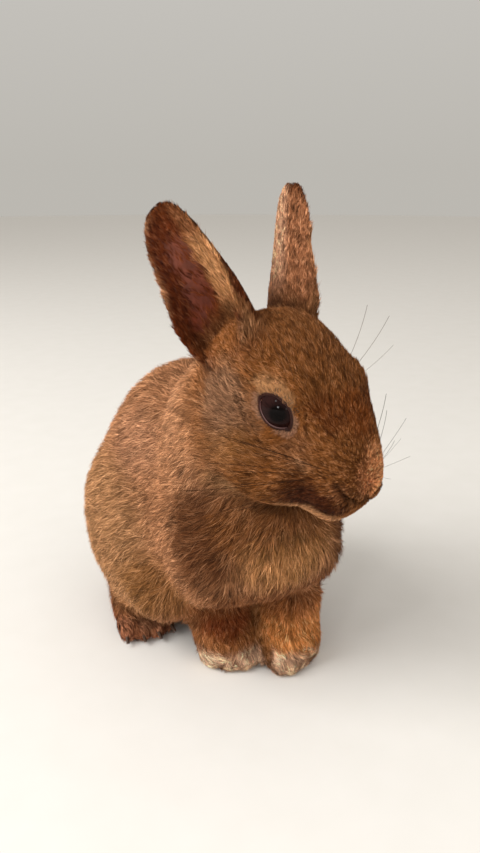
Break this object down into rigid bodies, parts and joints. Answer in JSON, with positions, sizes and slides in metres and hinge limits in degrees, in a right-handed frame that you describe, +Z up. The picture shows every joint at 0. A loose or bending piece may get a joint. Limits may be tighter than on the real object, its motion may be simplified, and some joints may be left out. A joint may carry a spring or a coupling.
{
  "type": "young rabbit",
  "caption": "Young red-brown rabbit sitting on folded hind legs with its front feet together, ears up and head turned to its left; a still, life-size model.",
  "frame": {"origin": "on the floor under the middle of the model's bounding box", "axes": "+Z up, the body faces -Y, +X towards the rabbit's left"},
  "size_m": [0.0962, 0.1682, 0.1778],
  "materials": {
    "coat": "soft reddish-brown fur, matt",
    "paw": "short rufous fur, matt",
    "ear": "thin skin under very short fur",
    "eye": "wet dark brown gloss"
  },
  "bodies": {
    "root": {"head": "coat", "neck": "coat", "trunk": "coat", "tail": "coat", "thigh_left": "coat", "thigh_right": "coat", "foreleg_left": "paw", "foreleg_right": "paw", "hind_foot_left": "paw", "hind_foot_right": "paw", "ear_left": "ear", "ear_right": "ear", "eye_left": "eye", "eye_right": "eye"}
  },
  "joints": []
}
